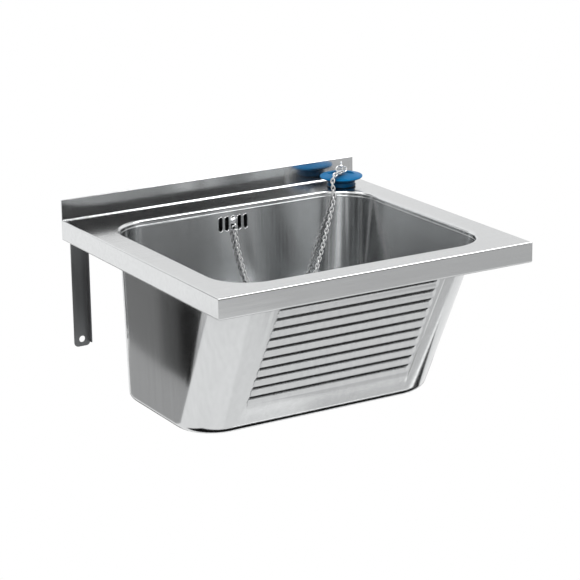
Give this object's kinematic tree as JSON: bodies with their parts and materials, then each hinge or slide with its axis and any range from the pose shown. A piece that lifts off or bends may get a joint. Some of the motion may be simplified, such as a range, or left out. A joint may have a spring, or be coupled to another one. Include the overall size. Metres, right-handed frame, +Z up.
{
  "type": "wall-hung service sink",
  "caption": "Wall-hung stainless steel service sink with a pressed washboard front, upstand, wall strips, overflow, waste and a chained rubber plug parked on the deck.",
  "frame": {"origin": "on the wall plane, at the middle of the sink's width and level with the top of the deck", "axes": "+X to the right as one faces the sink, +Y into the wall, +Z up; the front edge is towards -Y"},
  "size_m": [0.5, 0.47, 0.348],
  "materials": {
    "sheet_steel": "fine brushed stainless sheet",
    "bowl_steel": "satin stainless, ground welds",
    "bracket_steel": "plain stainless plate",
    "polished_steel": "polished stainless",
    "chrome_parts": "bright plated metal",
    "chain_metal": "bright nickel-plated wire",
    "black_rubber": "matt black rubber",
    "fitting_plastic": "light grey moulded plastic",
    "plug_rubber": "blue moulded rubber, slightly glossy"
  },
  "bodies": {
    "sink": {"deck": "sheet_steel", "bowl": "bowl_steel", "left_bracket": "bracket_steel", "right_bracket": "bracket_steel", "waste_flange": "polished_steel", "waste_seal": "black_rubber", "waste_gasket": "black_rubber", "waste_body": "fitting_plastic", "waste_screw": "polished_steel", "overflow_gasket": "black_rubber", "overflow_housing": "fitting_plastic", "overflow_screw": "chrome_parts", "overflow_pipe": "fitting_plastic", "housing_nut": "fitting_plastic", "housing_seal": "black_rubber", "inlet_nut": "fitting_plastic", "inlet_seal": "black_rubber", "chain_stay": "chrome_parts", "stay_ring": "chrome_parts", "chain": "chain_metal"},
    "plug_body": {"plug": "plug_rubber", "plug_post": "chrome_parts", "plug_washer": "chrome_parts", "chain_lead": "chain_metal"},
    "ring_body": {"plug_ring": "chrome_parts"}
  },
  "joints": [
    {"name": "plug_lift", "type": "slide", "parent": "sink", "child": "plug_body", "axis": [0, 0, 1], "range_m": [0, 0.08], "deforming": ["chain"]},
    {"name": "ring_swing", "type": "hinge", "parent": "plug_body", "child": "ring_body", "pos_m": [0.2016, -0.0465, 0.031], "axis": [-0.8607, 0.509, 0], "range_deg": [0, 75], "deforming": ["chain_lead"]}
  ]
}
